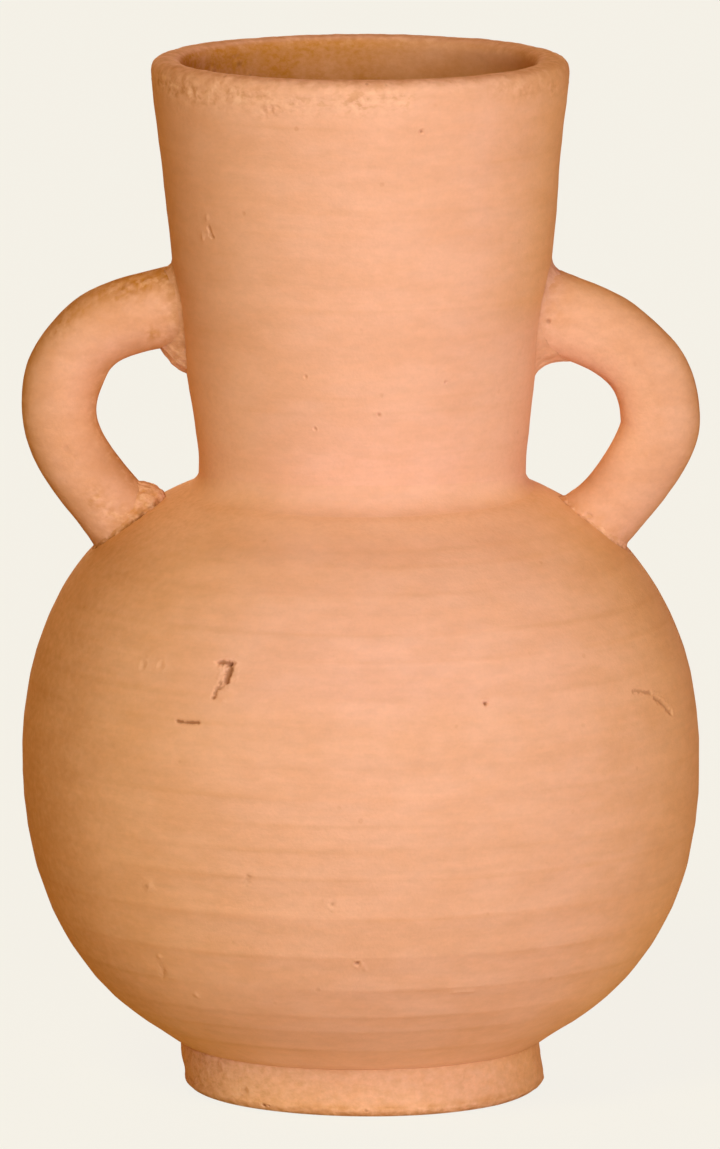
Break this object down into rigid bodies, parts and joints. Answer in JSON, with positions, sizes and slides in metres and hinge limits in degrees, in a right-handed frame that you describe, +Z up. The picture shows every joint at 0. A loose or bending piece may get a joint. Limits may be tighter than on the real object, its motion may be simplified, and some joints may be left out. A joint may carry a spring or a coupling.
{
  "type": "bud vase",
  "caption": "Wheel-thrown terracotta bud vase: a round belly on a low foot ring, a tall flared neck with a rounded lip, and coil handles from the neck to the shoulder.",
  "frame": {"origin": "centre of the foot ring, on the surface that the vase stands on", "axes": "+Z up along the vase's axis, +X from the axis towards the right-hand handle as seen from the front, the front facing -Y"},
  "size_m": [0.1042, 0.1042, 0.16],
  "materials": {
    "foot_clay": "unglazed matt earthenware",
    "body_clay": "unglazed matt earthenware with throwing rings",
    "neck_clay": "unglazed matt earthenware",
    "handle_clay": "unglazed matt earthenware, wiped smooth",
    "luting_clay": "unglazed matt earthenware, worked with a fingertip"
  },
  "bodies": {
    "root": {"foot_ring": "foot_clay", "belly": "body_clay", "neck": "neck_clay", "neck_band": "luting_clay", "left_handle": "handle_clay", "left_upper_luting_coil": "luting_clay", "left_lower_luting_coil": "luting_clay", "right_handle": "handle_clay", "right_upper_luting_coil": "luting_clay", "right_lower_luting_coil": "luting_clay"}
  },
  "joints": []
}
